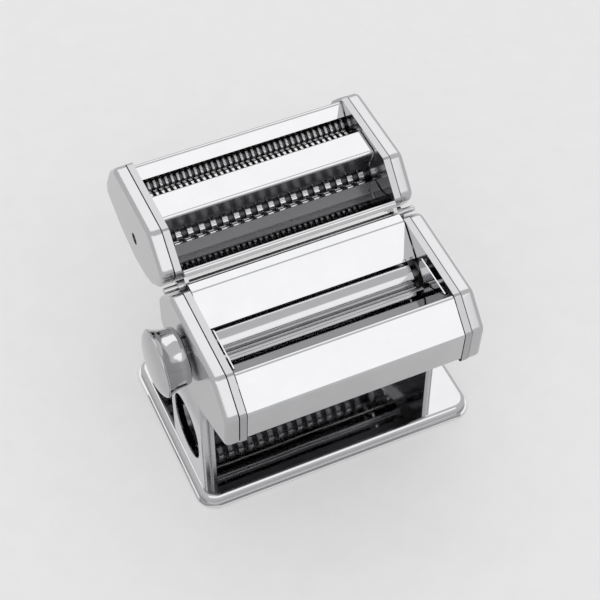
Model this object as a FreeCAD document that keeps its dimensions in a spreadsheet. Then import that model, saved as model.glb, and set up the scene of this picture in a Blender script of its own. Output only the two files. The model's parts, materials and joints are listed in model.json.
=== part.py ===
"""A hand-cranked pasta machine: smooth sheet rollers in front, a lift-off twin cutter behind.

Frame: +X to the right (the thickness knob is at -X), +Y to the back, +Z up, in millimetres.
The origin is the middle of the rubber mat under the base, on the table.
"""
import FreeCAD, Part
import Sketcher
import math
import os
import re

Vector = FreeCAD.Vector

# ---------------------------------------------------------------- driving dimensions
SIZES = [
    # base tray and its rubber mat
    ("base_width", 196), ("base_depth", 131), ("base_top", 9), ("base_corner", 13),
    ("base_sheet", 1), ("base_flange", 2), ("base_edge_round", 3.5), ("rim_lift", 0.8),
    ("mat_thick", 3),
    # layers on each side, measured outwards from the middle of the machine
    ("roller_half", 67), ("cheek_in", 69.5), ("cheek_thick", 0.8), ("panel_half", 72),
    ("plate_in", 72.5), ("plate_out", 76.8), ("leg_out", 79.2), ("stand_out", 84.4),
    ("cover_in", 77.2), ("cover_out", 86), ("cover_wall", 1.3), ("cover_round", 2.8),
    ("corner_round", 3.6), ("sheet", 0.8), ("slack", 0.3), ("run_gap", 0.06),
    # legs
    ("leg_front", -34), ("leg_back", 27), ("leg_top", 88), ("stand_front", -31),
    ("stand_top", 84), ("stand_sheet", 1), ("arch_y", -2), ("arch_z", 12), ("arch_radius", 21),
    ("rivet_radius", 2.4), ("rivet_head", 4), ("rivet_head_thick", 1.2),
    ("rivet_front_y", -25.8), ("rivet_back_y", 10), ("rivet_z", 80),
    # outline of the roller housing, in the Y-Z plane
    ("nose_y", -83), ("nose_z", 116), ("bend_y", -64.5), ("bend_z", 134), ("crest_y", 5),
    ("crest_z", 135), ("rear_y", 29), ("rear_z", 109), ("rear_low_z", 88), ("heel_y", 24),
    ("heel_z", 82), ("belly_back_y", 0), ("belly_front_y", -38), ("belly_z", 70),
    ("chin_y", -81), ("chin_z", 87.5),
    # bent sheets over the sheet rollers
    ("front_return_y", -75), ("front_return_z", 89), ("front_foot_z", 90.5),
    ("front_edge_y", -40.3), ("front_edge_z", 118), ("rear_edge_y", -15.5),
    ("rear_edge_z", 118), ("rear_fold_y", 2.5), ("rear_wall_y", 11.2), ("rear_wall_low", 90),
    ("cheek_front_y", -58.3), ("cheek_back_y", -25), ("cheek_top", 130.5), ("cheek_low", 112),
    ("stub_radius", 1.5),
    # sheet rollers and their bearings
    ("roll_radius", 12), ("nip_gap", 0.5), ("front_roll_y", -40.5), ("roll_z", 103.5),
    ("journal_radius", 6), ("bush_radius", 9), ("bush_flange", 10.5), ("bush_flange_thick", 1),
    ("block_half_y", 9), ("block_half_z", 10), ("block_flange_in", 70.5), ("block_low", 84),
    ("carriage_travel", 2.56), ("gear_teeth", 16), ("gear_in", 77.4), ("gear_thick", 5),
    ("gear_seat", 5), ("gear_tip_share", 1.142857142857143),
    ("gear_foot_share", 1.33877551020408), ("gear_backlash", 0.3), ("socket_radius", 3.6), ("socket_depth", 12), ("socket_out", 84.2),
    ("crank_hole", 5.6), ("scraper_thick", 2.4), ("scraper_gap", 0.4), ("bar_thick", 4),
    ("bar_half_y", 5), ("rod_radius", 3), ("front_rod_y", -67), ("front_rod_z", 99),
    ("rear_rod_y", 5), ("rear_rod_z", 97),
    ("rest_rod_y", 15.5), ("rest_rod_z", 128.5), ("rest_rod_radius", 2), ("rest_rod_half", 86),
    ("ear_radius", 3.8),
    # thickness knob
    ("knob_in", 87.4), ("knob_rim", 104), ("knob_end", 109.5), ("knob_small", 19.2),
    ("knob_large", 22.3), ("knob_shaft", 4), ("throw", 1.3), ("knob_offset", 1.28),
    ("crank_pin", 1.5), ("crank_disc", 7), ("yoke_slot_in", 77), ("yoke_out", 79.4),
    ("crank_disc_out", 82), ("knob_chamber", 8), ("knob_web", 93),
    ("knob_head", 101.4), ("knob_head_thick", 1.6), ("knob_head_radius", 6.6),
    ("stop_ring", 13), ("stop_pin", 1.2), ("stop_groove_deep", 0.8), ("knob_bevel", 1.2),
    ("spring_wire", 0.5), ("spring_mean", 5.4), ("spring_turns", 5),
    # outline of the cutter housing, in the Y-Z plane
    ("beak_y", 15.5), ("beak_z", 139), ("brow_y", 35.6), ("brow_z", 160), ("crown_y", 99),
    ("crown_z", 158.5), ("nape_y", 110.5), ("nape_z", 146), ("spine_y", 120),
    ("spine_z", 128.6), ("tail_y", 122), ("tail_z", 118), ("tail_low_y", 115),
    ("tail_low_z", 114), ("hip_y", 98), ("hip_z", 106), ("keel_y", 71), ("keel_z", 101),
    ("keel_front_y", 50.5), ("keel_front_z", 104.3), ("throat_y", 38.8), ("throat_z", 109),
    ("neck_y", 28.5), ("neck_z", 118), ("jaw_y", 21), ("jaw_z", 129),
    # bent sheets over the cutting rollers
    ("hood_edge_y", 91), ("hood_edge_z", 148.5), ("hood_top_y", 98), ("hood_top_z", 156.4),
    ("hood_nape_y", 109.2), ("hood_nape_z", 144.9), ("hood_back_y", 118.5), ("hood_back_z", 128),
    ("hood_low_y", 120.4), ("hood_low_z", 118.4), ("bar_foot_y", 54.5), ("bar_foot_z", 136),
    ("bar_lip_y", 48), ("bar_lip_z", 154), ("bar_front_y", 49.4), ("bar_back_y", 69),
    ("bar_top_z", 155.5), ("bar_return_y", 69.5), ("bar_return_z", 152.5),
    ("chute_tip_y", 12.7), ("chute_tip_z", 138), ("chute_lip_y", 14.9), ("chute_lip_z", 141.5),
    ("chute_fall_y", 28.5), ("chute_fall_z", 134), ("chute_low_y", 35.6),
    ("chute_low_z", 131.9), ("chute_end_y", 44.5), ("chute_end_z", 132.7),
    # cutting rollers
    ("cut_radius", 9), ("cut_floor", 6.7), ("cut_spacing", 16.2), 
    ("cut_journal", 5), ("cut_bush", 6.5), ("fine_pitch", 4), ("fine_ridges", 36),
    ("fine_land", 1.8), ("wide_pitch", 8), ("wide_ridges", 18), ("wide_land", 3.7),
    ("fine_front_y", 79.2), ("fine_z", 136), ("wide_front_y", 45.9), ("wide_z", 121.5),
    ("cut_teeth", 12), ("cut_gear_thick", 4), ("cut_gear_seat", 4.2),
    ("cut_tip_share", 0.888888888888889), ("cut_foot_share", 1.14814814814815),
    ("cut_backlash", 0.25),
    ("comb_top", 10.5), ("comb_thick", 3), ("comb_half_y", 3),
    ("finger_half_y", 1.2), ("finger_gap", 0.5), ("fine_finger", 1.6), ("wide_finger", 3.4),
    ("hook_in", 70), ("hook_clear", 0.3), ("hook_wall", 1.5),
    ("cover_mark_y", 67), ("cover_mark_z", 125), ("cover_mark_radius", 4),
]
NAMES = {name for name, _ in SIZES}

doc = FreeCAD.newDocument("pasta_machine")
sheet = doc.addObject("Spreadsheet::Sheet", "Sizes")
for row, (name, number) in enumerate(SIZES, start=1):
    sheet.set("A%d" % row, name)
    sheet.set("B%d" % row, str(number))
    sheet.setAlias("B%d" % row, name)
doc.recompute()

PARTS = []


# ---------------------------------------------------------------- small helpers
def bound(text):
    """Turn words of the size list into references to the sheet's cells."""
    return re.sub(r"[a-z_]+", lambda m: "Sizes." + m[0] if m[0] in NAMES else m[0], str(text))


def amount(text):
    """Present value, in millimetres, of an expression on the sheet."""
    return float(sheet.evalExpression(bound(text)))


def bind(thing, **properties):
    """Bind properties to expressions; a double underscore stands for a dot."""
    for name, text in properties.items():
        thing.setExpression(name.replace("__", "."), bound(text))


def finished(thing, label):
    """Register a finished sub-part under the name of its file."""
    thing.Label = label
    PARTS.append(thing)
    return thing


def new_body(label, y="0", z="0"):
    body = doc.addObject("PartDesign::Body", "Body_" + label)
    bind(body, Placement__Base__y=y, Placement__Base__z=z)
    return finished(body, label)


def sketch_on(body, role, offset="0"):
    """A sketch on one of the body's own origin planes, moved along the plane's normal."""
    sketch = body.newObject("Sketcher::SketchObject", "Sketch")
    plane = next(f for f in body.Origin.OriginFeatures if f.Role == role)
    sketch.AttachmentSupport = (plane, "")
    sketch.MapMode = "FlatFace"
    bind(sketch, AttachmentOffset__Base__z=offset)
    return sketch


def fix_point(sketch, curve, end, point):
    """Tie one end of a sketch curve to two expressions."""
    for kind, text in zip(("DistanceX", "DistanceY"), point):
        index = sketch.addConstraint(Sketcher.Constraint(kind, -1, 1, curve, end, amount(text)))
        sketch.setExpression("Constraints[%d]" % index, bound(text))


def outline(sketch, points):
    """A closed polygon through pairs of expressions."""
    corners = [Vector(amount(a), amount(b), 0) for a, b in points]
    count = len(corners)
    first = sketch.GeometryCount
    for i in range(count):
        sketch.addGeometry(Part.LineSegment(corners[i], corners[(i + 1) % count]), False)
    for i in range(count):
        following = first + (i + 1) % count
        sketch.addConstraint(Sketcher.Constraint("Coincident", first + i, 2, following, 1))
        fix_point(sketch, first + i, 1, points[i])
    return sketch


def box_outline(sketch, low_a, high_a, low_b, high_b):
    return outline(sketch, [(low_a, low_b), (high_a, low_b), (high_a, high_b), (low_a, high_b)])


def circle(sketch, a, b, radius):
    centre = Vector(amount(a), amount(b), 0)
    index = sketch.addGeometry(Part.Circle(centre, Vector(0, 0, 1), amount(radius)), False)
    fix_point(sketch, index, 3, (a, b))
    ring = sketch.addConstraint(Sketcher.Constraint("Radius", index, amount(radius)))
    sketch.setExpression("Constraints[%d]" % ring, bound(radius))
    return sketch


def pad(body, sketch, length, side=1):
    """Add material from the sketch; side 1 goes along the plane's normal, -1 against it."""
    feature = body.newObject("PartDesign::Pad", "Pad")
    feature.Profile = sketch
    feature.Reversed = side < 0
    bind(feature, Length=length)
    doc.recompute()
    return feature


def pocket(body, sketch, length, side=1):
    """Cut material away from the sketch, along the plane's normal for side 1."""
    before = body.Shape.Volume
    feature = body.newObject("PartDesign::Pocket", "Pocket")
    feature.Profile = sketch
    feature.Reversed = side > 0
    bind(feature, Length=length)
    doc.recompute()
    if body.Shape.Volume > before - 1e-6:
        raise RuntimeError("a pocket cuts nothing in " + body.Label)
    return feature


def revolve(body, sketch):
    """Turn the sketch about the body's own X axis."""
    feature = body.newObject("PartDesign::Revolution", "Revolution")
    feature.Profile = sketch
    feature.ReferenceAxis = (sketch, ["H_Axis"])
    feature.Angle = 360
    doc.recompute()
    return feature


def row_pattern(body, feature, span, count):
    """Repeat a feature along X, count times over the span."""
    pattern = body.newObject("PartDesign::LinearPattern", "Row")
    pattern.Originals = [feature]
    axis = next(f for f in body.Origin.OriginFeatures if f.Role == "X_Axis")
    pattern.Direction = (axis, [""])
    bind(pattern, Length=span, Occurrences=count)
    body.Tip = pattern
    doc.recompute()
    return pattern


def edges_where(shape, test):
    """Names of the edges whose ends all pass the test."""
    names = []
    for index, edge in enumerate(shape.Edges, start=1):
        if all(test(vertex.Point) for vertex in edge.Vertexes):
            names.append("Edge%d" % index)
    return names


def round_edges(body, names, radius):
    before = body.Tip
    feature = body.newObject("PartDesign::Fillet", "Fillet")
    feature.Base = (before, names)
    bind(feature, Radius=radius)
    doc.recompute()
    return feature


def corner_edges(body, points):
    """Edges along X that stand on the given outline corners."""
    places = [(amount(a), amount(b)) for a, b in points]

    def at_corner(p):
        return any(abs(p.y - y) + abs(p.z - z) < 1e-3 for y, z in places)

    names = []
    for index, edge in enumerate(body.Tip.Shape.Edges, start=1):
        ends = [vertex.Point for vertex in edge.Vertexes]
        if len(ends) == 2 and all(at_corner(p) for p in ends) and abs(ends[0].x - ends[1].x) > 0.1:
            names.append("Edge%d" % index)
    return names


def primitive(kind, **properties):
    """A Part primitive with its sizes, and its place, bound to the sheet."""
    thing = doc.addObject("Part::" + kind, kind)
    bind(thing, **properties)
    return thing


def block(x, y, z):
    """A box between three pairs of expressions."""
    spans = {axis: pair for axis, pair in zip("xyz", (x, y, z))}
    sizes = {name: "(%s) - (%s)" % (spans[axis][1], spans[axis][0])
             for name, axis in (("Length", "x"), ("Width", "y"), ("Height", "z"))}
    places = {"Placement__Base__" + axis: spans[axis][0] for axis in "xyz"}
    return primitive("Box", **sizes, **places)


def rod(x, y, z, radius):
    """A cylinder along X between a pair of expressions."""
    thing = primitive("Cylinder", Radius=radius, Height="(%s) - (%s)" % (x[1], x[0]))
    thing.Placement = FreeCAD.Placement(Vector(), FreeCAD.Rotation(Vector(0, 1, 0), 90))
    bind(thing, Placement__Base__x=x[0], Placement__Base__y=y, Placement__Base__z=z)
    return thing


def cut(base, tool):
    thing = doc.addObject("Part::Cut", "Cut")
    thing.Base = base
    thing.Tool = tool
    return thing


def group(things):
    """Touching solids joined into one."""
    thing = doc.addObject("Part::MultiFuse", "Fuse")
    thing.Shapes = things
    return thing


def gathered(things):
    """Separate solids kept together under one name."""
    thing = doc.addObject("Part::Compound", "Group")
    thing.Links = things
    return thing


def reach(side, low, high):
    """The X span of a layer between two distances from the middle, on one side."""
    return (low, high) if side > 0 else ("-(%s)" % high, "-(%s)" % low)


def side_name(side):
    return "right" if side > 0 else "left"


def folded_sheet(body, points, thickness):
    """A bent sheet: the given line is its show side, its thickness lies to the line's right."""
    sketch = sketch_on(body, "YZ_Plane", "-panel_half")
    line = [Vector(amount(a), amount(b), 0) for a, b in points]
    depth = amount(thickness)
    normals = []
    for start, end in zip(line, line[1:]):
        along = (end - start).normalize()
        normals.append(Vector(along.y, -along.x, 0))
    inner = [line[0] + normals[0] * depth]
    for i in range(1, len(line) - 1):
        both = normals[i - 1] + normals[i]
        inner.append(line[i] + both * (depth / (1 + normals[i - 1].dot(normals[i]))))
    inner.append(line[-1] + normals[-1] * depth)
    runs = len(line) - 1
    for i in range(runs):
        sketch.addGeometry(Part.LineSegment(line[i], line[i + 1]), False)
    for i in range(runs):
        sketch.addGeometry(Part.LineSegment(inner[i], inner[i + 1]), False)
    start_cap = sketch.addGeometry(Part.LineSegment(line[0], inner[0]), False)
    end_cap = sketch.addGeometry(Part.LineSegment(line[-1], inner[-1]), False)
    for i in range(runs - 1):
        sketch.addConstraint(Sketcher.Constraint("Coincident", i, 2, i + 1, 1))
        sketch.addConstraint(Sketcher.Constraint("Coincident", runs + i, 2, runs + i + 1, 1))
    for cap, edge, end in ((start_cap, 0, 1), (end_cap, runs - 1, 2)):
        sketch.addConstraint(Sketcher.Constraint("Coincident", cap, 1, edge, end))
        sketch.addConstraint(Sketcher.Constraint("Coincident", cap, 2, runs + edge, end))
    for i in range(runs):
        fix_point(sketch, i, 1, points[i])
        sketch.addConstraint(Sketcher.Constraint("Parallel", runs + i, i))
        index = sketch.addConstraint(Sketcher.Constraint("Distance", runs + i, 1, i, depth))
        sketch.setExpression("Constraints[%d]" % index, bound(thickness))
    fix_point(sketch, runs - 1, 2, points[-1])
    sketch.addConstraint(Sketcher.Constraint("Perpendicular", start_cap, 0))
    sketch.addConstraint(Sketcher.Constraint("Perpendicular", end_cap, runs - 1))
    return pad(body, sketch, "2 * panel_half")


def spur_gear(label, teeth, spacing, shares, thickness, bore, backlash, turn):
    """An involute wheel about X; the flank is the unwound line of the base circle.
    The shares are the height and depth of a tooth over the module."""
    pitch = spacing / 2
    tip = pitch + shares[0] * spacing / teeth
    root = pitch - shares[1] * spacing / teeth
    base = pitch * math.cos(math.radians(20))

    def unwind(radius):
        ratio = max(radius / base, 1.0)
        angle = math.acos(1 / ratio)
        return math.tan(angle) - angle

    half_pitch = (math.pi * pitch / teeth - backlash) / (2 * pitch) + unwind(pitch)
    steps = [max(root, base) + (tip - max(root, base)) * i / 6 for i in range(7)]
    flank = [(radius, half_pitch - unwind(radius)) for radius in steps]
    points = [(root, flank[0][1])] + flank
    wheel = Part.makeCylinder(root, thickness, Vector(0, 0, 0), Vector(1, 0, 0))
    solids = []
    for tooth in range(teeth):
        middle = turn + 2 * math.pi * tooth / teeth
        left = [Vector(0, r * math.cos(middle - a), r * math.sin(middle - a)) for r, a in points]
        right = [Vector(0, r * math.cos(middle + a), r * math.sin(middle + a)) for r, a in points]
        foot = [Vector(0, 0.8 * root * math.cos(middle + s * 0.1),
                       0.8 * root * math.sin(middle + s * 0.1)) for s in (1, -1)]
        wire = Part.makePolygon(left + right[::-1] + foot + [left[0]])
        solids.append(Part.Face(wire).extrude(Vector(thickness, 0, 0)))
    wheel = wheel.multiFuse(solids).removeSplitter()
    wheel = wheel.cut(Part.makeCylinder(bore, thickness, Vector(0, 0, 0), Vector(1, 0, 0)))
    thing = doc.addObject("Part::Feature", label)
    thing.Shape = wheel.Solids[0]
    return finished(thing, label)


HOUSING = [("nose_y", "nose_z"), ("bend_y", "bend_z"), ("crest_y", "crest_z"),
           ("rear_y", "rear_z"), ("rear_y", "rear_low_z"), ("heel_y", "heel_z"),
           ("belly_back_y", "belly_z"), ("belly_front_y", "belly_z"), ("chin_y", "chin_z")]
CUTTER = [("beak_y", "beak_z"), ("brow_y", "brow_z"), ("crown_y", "crown_z"),
          ("nape_y", "nape_z"), ("spine_y", "spine_z"), ("tail_y", "tail_z"),
          ("tail_low_y", "tail_low_z"), ("hip_y", "hip_z"), ("keel_y", "keel_z"),
          ("keel_front_y", "keel_front_z"), ("throat_y", "throat_z"), ("neck_y", "neck_z"),
          ("jaw_y", "jaw_z")]
FRONT_ROLL = ("front_roll_y", "roll_z")
REAR_ROLL = ("front_roll_y + 2 * roll_radius + nip_gap", "roll_z")
KNOB_AXIS = REAR_ROLL
REST_ROD = ("rest_rod_y", "rest_rod_z")
FINE_FRONT = ("fine_front_y", "fine_z")
FINE_REAR = ("fine_front_y + cut_spacing", "fine_z")
WIDE_FRONT = ("wide_front_y", "wide_z")
WIDE_REAR = ("wide_front_y + cut_spacing", "wide_z")
CUT_AXES = [FINE_FRONT, FINE_REAR, WIDE_FRONT, WIDE_REAR]
RIVETS = [("rivet_front_y", "rivet_z"), ("rivet_back_y", "rivet_z")]


def layer(body, side, inner, outer):
    """A sketch on the lower X face of a layer, and the thickness of that layer."""
    sketch = sketch_on(body, "YZ_Plane", reach(side, inner, outer)[0])
    return sketch, "(%s) - (%s)" % (outer, inner)


def slab(label, side, inner, outer, points):
    """A flat plate of the given outline between two distances from the middle."""
    body = new_body(label)
    sketch, thick = layer(body, side, inner, outer)
    pad(body, outline(sketch, points), thick)
    return body


def bore(body, side, inner, outer, centre, radius):
    sketch, thick = layer(body, side, inner, outer)
    return pocket(body, circle(sketch, centre[0], centre[1], radius), thick)


def window(body, side, inner, outer, y, z):
    sketch, thick = layer(body, side, inner, outer)
    return pocket(body, box_outline(sketch, y[0], y[1], z[0], z[1]), thick)


def boss(body, side, inner, outer, centre, radius):
    sketch, thick = layer(body, side, inner, outer)
    return pad(body, circle(sketch, centre[0], centre[1], radius), thick)


def turned(label, centre, profile):
    """A part turned about its own X axis; the profile is a list of (x, radius)."""
    body = new_body(label, centre[0], centre[1])
    revolve(body, outline(sketch_on(body, "XY_Plane"), profile))
    return body


# ---------------------------------------------------------------- base tray and rubber mat
def rounded_outline(sketch, half_x, half_y, radius):
    """A rectangle with round corners, centred on the sketch's origin."""
    x, y, r = amount(half_x), amount(half_y), amount(radius)
    first = sketch.GeometryCount
    for i, (a, b) in enumerate(((1, 1), (-1, 1), (-1, -1), (1, -1))):
        ring = Part.Circle(Vector(a * (x - r), b * (y - r), 0), Vector(0, 0, 1), r)
        sketch.addGeometry(Part.ArcOfCircle(ring, i * math.pi / 2, (i + 1) * math.pi / 2), False)
        fix_point(sketch, first + i, 3, ("%d * (%s - (%s))" % (a, half_x, radius),
                                         "%d * (%s - (%s))" % (b, half_y, radius)))
        size = sketch.addConstraint(Sketcher.Constraint("Radius", first + i, r))
        sketch.setExpression("Constraints[%d]" % size, bound(radius))
    for i in range(4):
        arc, following = first + i, first + (i + 1) % 4
        segment = Part.LineSegment(sketch.getPoint(arc, 2), sketch.getPoint(following, 1))
        line = sketch.addGeometry(segment, False)
        sketch.addConstraint(Sketcher.Constraint("Tangent", arc, 2, line, 1))
        sketch.addConstraint(Sketcher.Constraint("Tangent", line, 2, following, 1))
    return sketch


def tray_outline(sketch, inset):
    """The base's outline, set in from its edge by a constant amount."""
    return rounded_outline(sketch, "base_width / 2 - (%s)" % inset,
                           "base_depth / 2 - (%s)" % inset, "base_corner - (%s)" % inset)


def hollowed(body, open_face, thickness):
    """Turn the body into a sheet-metal shell that is open at one face."""
    solid = body.Tip
    wall = body.newObject("PartDesign::Thickness", "Wall")
    wall.Base = (solid, open_face)
    wall.Reversed = True
    wall.Join = 1
    bind(wall, Value=thickness)
    doc.recompute()


def faces_where(shape, test):
    """Names of the faces whose corners all pass the test."""
    return ["Face%d" % index for index, face in enumerate(shape.Faces, start=1)
            if all(test(vertex.Point) for vertex in face.Vertexes)]


def base_plate():
    """A pressed tray: flat top, turned-down skirt and a narrow flange round its foot."""
    body = new_body("base_plate")
    sketch = sketch_on(body, "XY_Plane", "rim_lift")
    pad(body, tray_outline(sketch, "base_flange"), "base_top - rim_lift")
    top, foot = amount("base_top"), amount("rim_lift")
    round_edges(body, edges_where(body.Tip.Shape, lambda p: abs(p.z - top) < 1e-3),
                "base_edge_round")
    hollowed(body, faces_where(body.Tip.Shape, lambda p: abs(p.z - foot) < 1e-3), "base_sheet")
    flange = sketch_on(body, "XY_Plane", "rim_lift")
    tray_outline(flange, "0")
    tray_outline(flange, "base_flange + base_sheet")
    pad(body, flange, "base_sheet")


def base_mat():
    """The non-slip rubber mat pressed into the open underside of the tray."""
    body = new_body("base_pad")
    sketch = sketch_on(body, "XY_Plane")
    pad(body, tray_outline(sketch, "base_flange + base_sheet"), "mat_thick")


# ---------------------------------------------------------------- legs
LEG = [("leg_front", "base_top"), ("leg_back", "base_top"), ("leg_back", "leg_top"),
       ("leg_front", "leg_top")]
STAND = [("stand_front", "base_top"), ("leg_back", "base_top"), ("leg_back", "stand_top"),
         ("stand_front", "stand_top")]


def leg_plate(side):
    """A flat steel leg with an arch cut in its foot, riveted to the side frame."""
    body = slab(side_name(side) + "_leg_plate", side, "plate_out", "leg_out", LEG)
    bore(body, side, "plate_out", "leg_out", ("arch_y", "arch_z"), "arch_radius")
    for centre in RIVETS:
        bore(body, side, "plate_out", "leg_out", centre, "rivet_radius")


def stand(side):
    """The outer leg: a bent channel, open towards the leg plate and cut by the same arch."""
    body = slab(side_name(side) + "_stand", side, "leg_out", "stand_out", STAND)
    window(body, side, "leg_out", "stand_out - stand_sheet",
           ("stand_front + stand_sheet", "leg_back - stand_sheet"),
           ("base_top + stand_sheet", "stand_top"))
    bore(body, side, "leg_out", "stand_out", ("arch_y", "arch_z"), "arch_radius")


def leg_rivets(side):
    """Two rivets clench each leg plate to its side frame."""
    pieces = []
    for y, z in RIVETS:
        shank = rod(reach(side, "plate_in", "leg_out"), y, z, "rivet_radius")
        inner = rod(reach(side, "plate_in - rivet_head_thick", "plate_in"), y, z, "rivet_head")
        outer = rod(reach(side, "leg_out", "leg_out + rivet_head_thick"), y, z, "rivet_head")
        pieces.append(group([shank, inner, outer]))
    finished(gathered(pieces), side_name(side) + "_leg_rivets")


# ---------------------------------------------------------------- roller housing
def side_frame(side):
    """A thick side plate that carries the bearings, with an ear for the rest rod."""
    body = slab(side_name(side) + "_side_frame", side, "plate_in", "plate_out", HOUSING)
    round_edges(body, corner_edges(body, HOUSING), "corner_round")
    boss(body, side, "plate_in", "plate_out", REST_ROD, "ear_radius")
    bore(body, side, "plate_in", "plate_out", REST_ROD, "rest_rod_radius")
    bore(body, side, "plate_in", "plate_out", FRONT_ROLL, "bush_radius")
    window(body, side, "plate_in", "plate_out",
           ("%s - block_half_y - slack" % REAR_ROLL[0],
            "%s + block_half_y + carriage_travel + slack" % REAR_ROLL[0]),
           ("roll_z - block_half_z - slack", "roll_z + block_half_z + slack"))
    for centre in RIVETS:
        bore(body, side, "plate_in", "plate_out", centre, "rivet_radius")


def shell(label, side, points):
    """A pressed cover: the outline drawn to a shallow box, open towards the machine."""
    body = slab(label, side, "cover_in", "cover_out", points)
    round_edges(body, corner_edges(body, points), "corner_round")
    outer = side * amount("cover_out")
    round_edges(body, edges_where(body.Tip.Shape, lambda p: abs(p.x - outer) < 1e-3),
                "cover_round")
    inner = side * amount("cover_in")
    hollowed(body, faces_where(body.Tip.Shape, lambda p: abs(p.x - inner) < 1e-3), "cover_wall")
    return body


def end_cover(side):
    """The bright end cover over the bearings and gears, notched for the legs."""
    body = shell(side_name(side) + "_end_cover", side, HOUSING)
    window(body, side, "cover_in", "cover_out - cover_wall",
           ("leg_front - slack", "leg_back + slack"), ("belly_z - 1", "leg_top + slack"))
    if side > 0:
        bore(body, side, "cover_out - cover_wall", "cover_out", FRONT_ROLL, "crank_hole")
        return
    bore(body, side, "cover_out - cover_wall", "cover_out", KNOB_AXIS, "knob_shaft + run_gap")
    sketch, _ = layer(body, side, "cover_out - stop_groove_deep", "cover_out")
    circle(sketch, KNOB_AXIS[0], KNOB_AXIS[1], "stop_ring + stop_pin + slack")
    circle(sketch, KNOB_AXIS[0], KNOB_AXIS[1], "stop_ring - stop_pin - slack")
    pocket(body, sketch, "stop_groove_deep")


def housing_sheets():
    """The bent front and rear sheets; the front one is the feed tray and the bare nameplate."""
    front = new_body("front_panel")
    folded_sheet(front, [("front_return_y", "front_return_z"), ("chin_y", "front_foot_z"),
                         ("nose_y", "nose_z"), ("bend_y", "bend_z"),
                         ("front_edge_y", "front_edge_z")], "sheet")
    rear = new_body("rear_panel")
    folded_sheet(rear, [("rear_edge_y", "rear_edge_z"), ("rear_fold_y", "crest_z"),
                        ("rear_wall_y", "crest_z"), ("rear_wall_y", "rear_wall_low")], "sheet")


def cheek(side):
    """A thin end wall of the dough feed, held to the side frame by two spacers."""
    points = [("cheek_front_y", "cheek_top"), ("cheek_back_y - 2", "cheek_top"),
              ("cheek_back_y", "cheek_top - 2"), ("cheek_back_y", "cheek_low"),
              ("front_edge_y + 3", "cheek_low"), ("front_edge_y + 1", "front_edge_z")]
    body = slab(side_name(side) + "_cheek", side, "cheek_in", "cheek_in + cheek_thick", points)
    for centre in (("cheek_back_y - 4", "cheek_low + 10"), ("cheek_back_y - 21", "cheek_top - 3")):
        boss(body, side, "cheek_in + cheek_thick", "plate_in", centre, "stub_radius")


def cross_rods():
    """Rods across the housing: two spacers and the rod the cutter hangs on."""
    for label, y, z in (("front_tie_rod", "front_rod_y", "front_rod_z"),
                        ("rear_tie_rod", "rear_rod_y", "rear_rod_z")):
        finished(rod(("-(plate_in)", "plate_in"), y, z, "rod_radius"), label)
    turned("cutter_rest_rod", REST_ROD,
           [("-rest_rod_half", "0"), ("-rest_rod_half", "rest_rod_radius - 0.5"),
            ("-rest_rod_half + 0.5", "rest_rod_radius"), ("rest_rod_half - 0.5", "rest_rod_radius"),
            ("rest_rod_half", "rest_rod_radius - 0.5"), ("rest_rod_half", "0")])


def scraper(label, axis, half, bar_low):
    """A cross bar with an upright blade that lifts dough off the foot of a roller."""
    y = axis[0]
    span = ("-(%s)" % half, half)
    bar = block(span, ("%s - bar_half_y" % y, "%s + bar_half_y" % y),
                (bar_low, "%s + bar_thick" % bar_low))
    blade = block(("-roller_half", "roller_half"),
                  ("%s - scraper_thick / 2" % y, "%s + scraper_thick / 2" % y),
                  ("%s + bar_thick" % bar_low, "roll_z - roll_radius - scraper_gap"))
    return bar, blade


def bush(side):
    """A flanged plain bearing for the fixed roller."""
    low = reach(side, "plate_in - bush_flange_thick", "plate_in")
    tube = rod(reach(side, "plate_in", "plate_out"), FRONT_ROLL[0], FRONT_ROLL[1], "bush_radius")
    flange = rod(low, FRONT_ROLL[0], FRONT_ROLL[1], "bush_flange")
    hole = rod(reach(side, "plate_in - bush_flange_thick", "plate_out"),
               FRONT_ROLL[0], FRONT_ROLL[1], "journal_radius + run_gap")
    finished(cut(group([tube, flange]), hole), side_name(side) + "_front_bush")


# ---------------------------------------------------------------- sheet rollers
def sheet_roller(label, axis, left_end, right_end):
    """A ground steel roller with a bearing neck at each end."""
    return turned(label, axis, [
        ("-(%s)" % left_end, "0"), ("-(%s)" % left_end, "journal_radius"),
        ("-roller_half", "journal_radius"), ("-roller_half", "roll_radius"),
        ("roller_half", "roll_radius"), ("roller_half", "journal_radius"),
        ("gear_in", "journal_radius"), ("gear_in", "gear_seat"),
        (right_end, "gear_seat"), (right_end, "0")])


def placed(thing, x, y, z):
    bind(thing, Placement__Base__x=x, Placement__Base__y=y, Placement__Base__z=z)
    return thing


def rollers_and_gears():
    front = sheet_roller("front_roller", FRONT_ROLL, "plate_out", "socket_out")
    hole = sketch_on(front, "YZ_Plane", "socket_out")
    pocket(front, circle(hole, "0", "0", "socket_radius"), "socket_depth", -1)
    sheet_roller("rear_roller", REAR_ROLL, "plate_out - 0.8 - slack", "gear_in + gear_thick")
    spacing = amount("2 * roll_radius + nip_gap")
    teeth = int(amount("gear_teeth"))
    shares = (amount("gear_tip_share"), amount("gear_foot_share"))
    for label, axis, turn in (("front_roller_gear", FRONT_ROLL, 0),
                              ("rear_roller_gear", REAR_ROLL, math.pi / teeth)):
        wheel = spur_gear(label, teeth, spacing, shares, amount("gear_thick"),
                          amount("gear_seat"), amount("gear_backlash"), turn)
        placed(wheel, "gear_in", axis[0], axis[1])


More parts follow.
